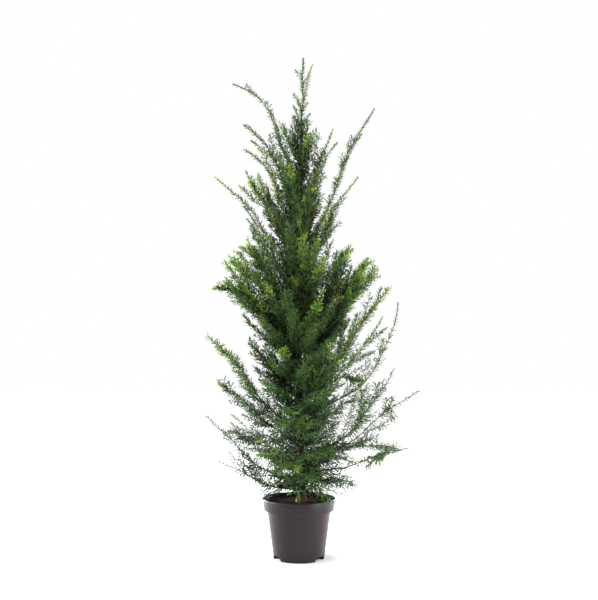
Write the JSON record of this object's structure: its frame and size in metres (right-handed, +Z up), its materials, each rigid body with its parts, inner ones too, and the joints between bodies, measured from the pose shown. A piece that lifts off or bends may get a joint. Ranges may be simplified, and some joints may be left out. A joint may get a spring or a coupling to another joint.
{
  "type": "potted conifer",
  "caption": "Young English yew grown as a loose upright cone on one stem, with rising boughs clothed in dark needles, in a round tapered plastic nursery pot.",
  "frame": {"origin": "centre of the pot's flat underside", "axes": "+Z up along the trunk, -Y towards the front, +X to the right seen from the front"},
  "size_m": [0.6807, 0.4787, 1.5653],
  "materials": {
    "pot": "satin",
    "soil": "matte",
    "bark": "matte",
    "foliage": "satin"
  },
  "bodies": {
    "root": {"pot": "pot", "soil": "soil", "trunk": "bark", "bough_lash_left": "bark", "bough_hook_left": "bark", "bough_rake_left": "bark", "bough_wand_left": "bark", "bough_whip_right": "bark", "bough_crest_right": "bark", "bough_fork_right": "bark", "bough_sickle_right": "bark", "bough_sprig_right": "bark", "bough_rake_right": "bark", "bough_skirt_right": "bark", "foliage_arch_left": "foliage", "foliage_spire_left": "foliage", "foliage_crook_left": "foliage", "foliage_fresh_left": "foliage", "foliage_lash_left": "foliage", "foliage_plume_left": "foliage", "foliage_fan_left_high": "foliage", "foliage_fan_left_mid": "foliage", "foliage_fan_left_low": "foliage", "foliage_tuft_left": "foliage", "foliage_hook_left": "foliage", "foliage_rake_left": "foliage", "foliage_twin_left": "foliage", "foliage_wand_left": "foliage", "foliage_skirt_left": "foliage", "foliage_rim_left": "foliage", "foliage_rim_front": "foliage", "foliage_whip_right": "foliage", "foliage_spire_right": "foliage", "foliage_plume_right": "foliage", "foliage_lash_right": "foliage", "foliage_fan_right_high": "foliage", "foliage_fan_right_mid": "foliage", "foliage_fan_right_low": "foliage", "foliage_crest_right": "foliage", "foliage_fork_right": "foliage", "foliage_sickle_right": "foliage", "foliage_sprig_right": "foliage", "foliage_rake_right": "foliage", "foliage_skirt_right": "foliage", "foliage_rim_right": "foliage", "foliage_front_1": "foliage", "foliage_back_1": "foliage", "foliage_front_2": "foliage", "foliage_back_2": "foliage", "foliage_front_3": "foliage", "foliage_back_3": "foliage", "foliage_front_4": "foliage", "foliage_back_4": "foliage", "foliage_column_1": "foliage", "foliage_column_2": "foliage", "foliage_column_3": "foliage", "foliage_column_4": "foliage", "foliage_column_5": "foliage", "foliage_column_6": "foliage", "foliage_leader": "foliage"}
  },
  "joints": []
}
